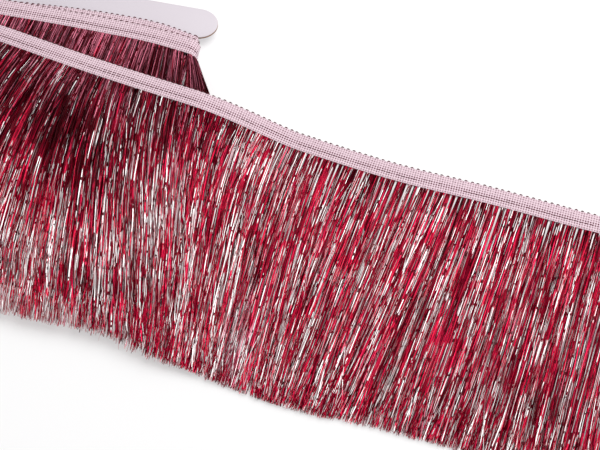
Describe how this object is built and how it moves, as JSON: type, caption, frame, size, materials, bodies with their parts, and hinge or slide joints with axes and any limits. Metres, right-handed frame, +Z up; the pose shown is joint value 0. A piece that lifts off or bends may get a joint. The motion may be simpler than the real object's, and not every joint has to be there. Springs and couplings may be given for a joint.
{
  "type": "metallic fringe trim wound on a card",
  "caption": "Narrow woven heading with long crimson and silver foil strands, wound on a bone-shaped card, its last run lying flat beside it.",
  "frame": {"origin": "middle of the footprint, on the table that the part lies on", "axes": "+X along the loose run's heading towards its cut end, +Y from the strands' tips towards the heading, +Z up"},
  "size_m": [0.4736, 0.2138, 0.0138],
  "materials": {
    "card": "smooth pale lilac-grey board with a brown cut edge",
    "heading": "matt dusty-pink woven tape with dark red stitching",
    "fringe": "shiny crimson and silver foil strands"
  },
  "bodies": {
    "root": {"winding_card": "card", "heading_tape": "heading", "fringe_run": "fringe", "fringe_wound": "fringe"}
  },
  "joints": []
}
